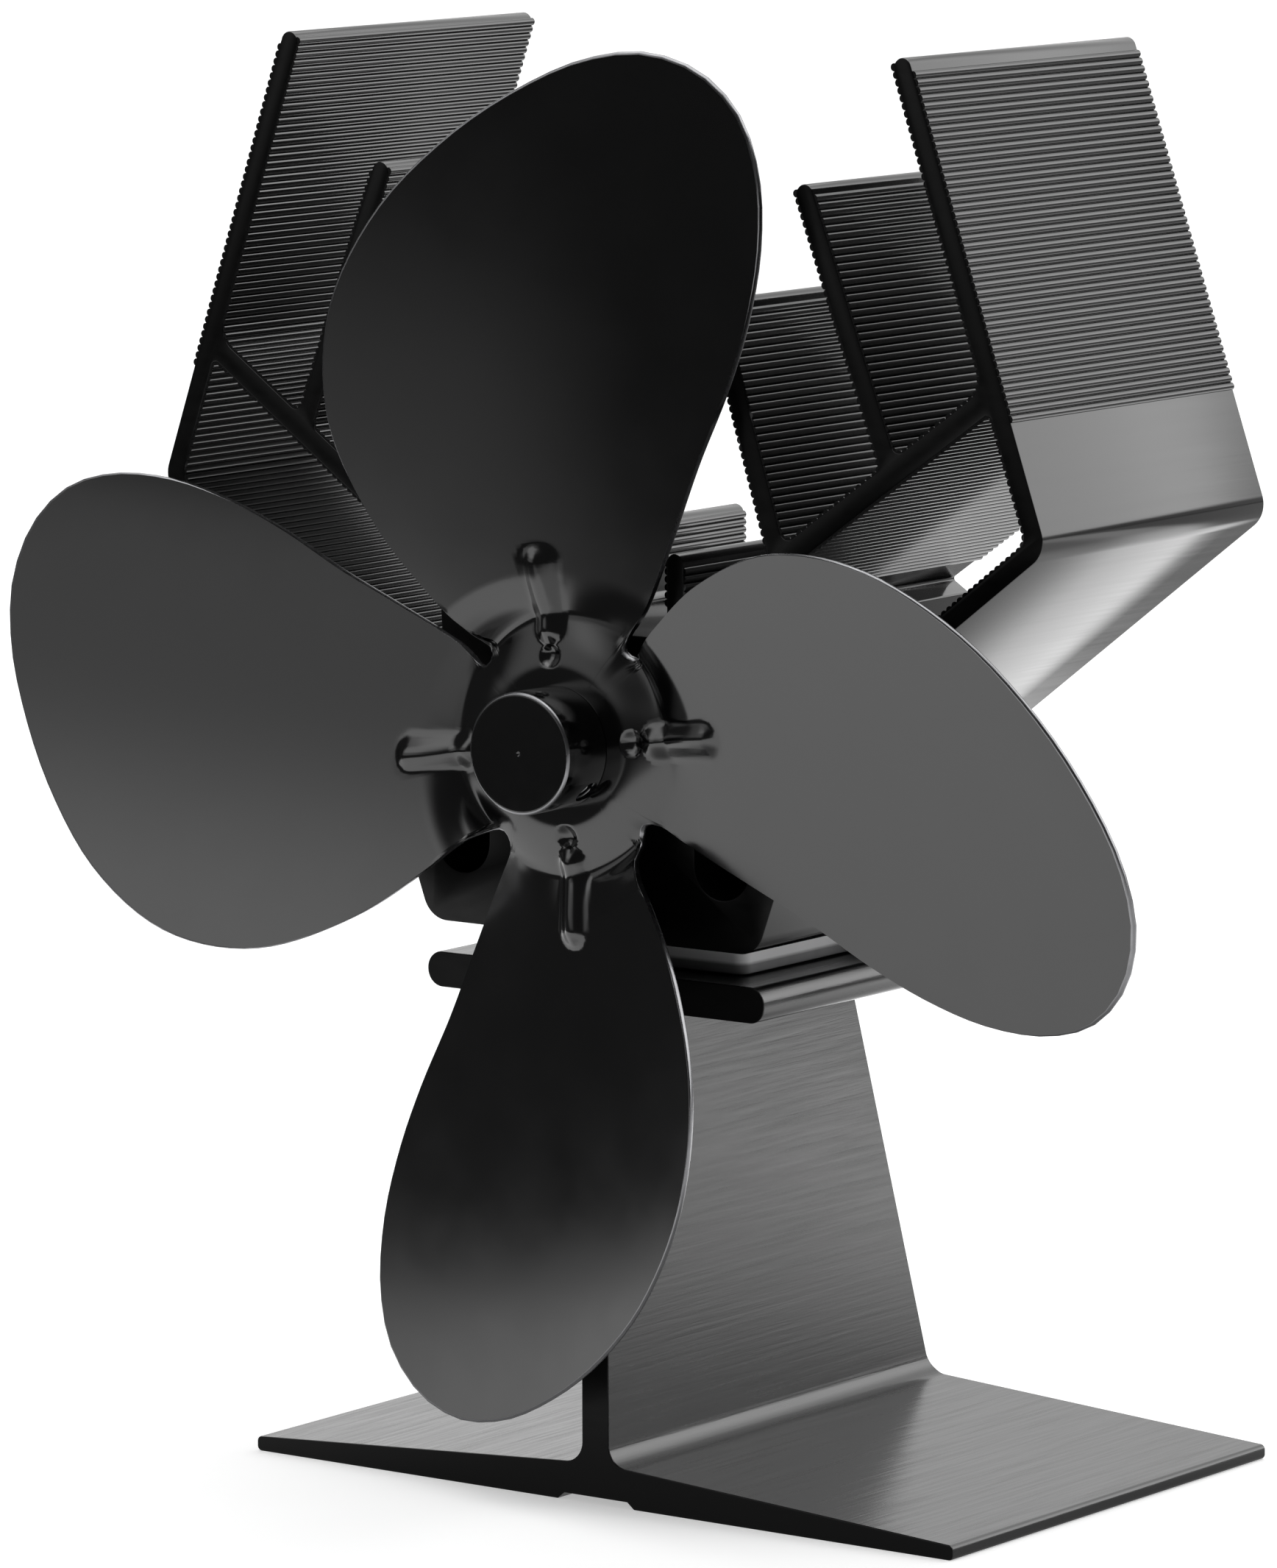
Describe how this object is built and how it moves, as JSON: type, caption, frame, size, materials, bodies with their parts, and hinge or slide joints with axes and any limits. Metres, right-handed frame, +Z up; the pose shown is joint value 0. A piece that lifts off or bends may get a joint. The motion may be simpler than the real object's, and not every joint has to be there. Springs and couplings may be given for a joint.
{
  "type": "stove fan",
  "caption": "Free-standing heat-powered stove fan: extruded foot, thermoelectric module, finned heat sink, motor and broad twisted blades.",
  "frame": {"origin": "under the middle of the whole object's box, on the plane that the foot stands on", "axes": "+X to the right seen from the fan's side, +Y to the back away from the fan, +Z up"},
  "size_m": [0.1828, 0.0952, 0.194],
  "materials": {
    "black_anodised": "black anodised with fine lines along the extrusion",
    "black_satin": "satin black coated sheet",
    "black_turned": "black anodised, turned",
    "steel": "plain",
    "dark_steel": "black oxide",
    "brass": "plain",
    "copper": "plain",
    "graphite": "dull",
    "ceramic": "dull white",
    "telluride": "plain",
    "ferrite": "dull",
    "silicone": "satin grey",
    "nylon": "dull",
    "red_sleeve": "satin",
    "black_sleeve": "satin"
  },
  "bodies": {
    "stand": {"base_stand": "black_anodised", "bimetal_strip": "brass", "strip_screw": "steel", "lower_pad": "graphite", "module_hot_plate": "ceramic", "module_legs": "telluride", "module_cold_plate": "ceramic", "upper_pad": "graphite", "module_frame": "silicone", "clamp_screw_left": "dark_steel", "clamp_washer_left": "steel", "clamp_sleeve_left": "nylon", "clamp_screw_right": "dark_steel", "clamp_washer_right": "steel", "clamp_sleeve_right": "nylon", "heat_sink": "black_anodised", "motor_set_screw": "dark_steel", "motor_can": "steel", "magnet_left": "ferrite", "magnet_right": "ferrite", "front_bush": "brass", "rear_bush": "brass", "motor_end_cap": "nylon", "terminal_left": "brass", "terminal_right": "brass", "brush_left": "copper", "brush_right": "copper", "lead_red": "red_sleeve", "lead_black": "black_sleeve"},
    "rotor": {"motor_shaft": "steel", "armature_core": "dark_steel", "armature_coil_1": "copper", "armature_coil_2": "copper", "armature_coil_3": "copper", "commutator": "copper", "hub": "black_turned", "fan_blades": "black_satin", "grub_screw": "dark_steel", "retaining_ring": "dark_steel"}
  },
  "joints": [
    {"name": "fan_spin", "type": "hinge", "parent": "stand", "child": "rotor", "pos_m": [0, -0.03973, 0.1026], "axis": [0, 1, 0], "continuous": true}
  ]
}
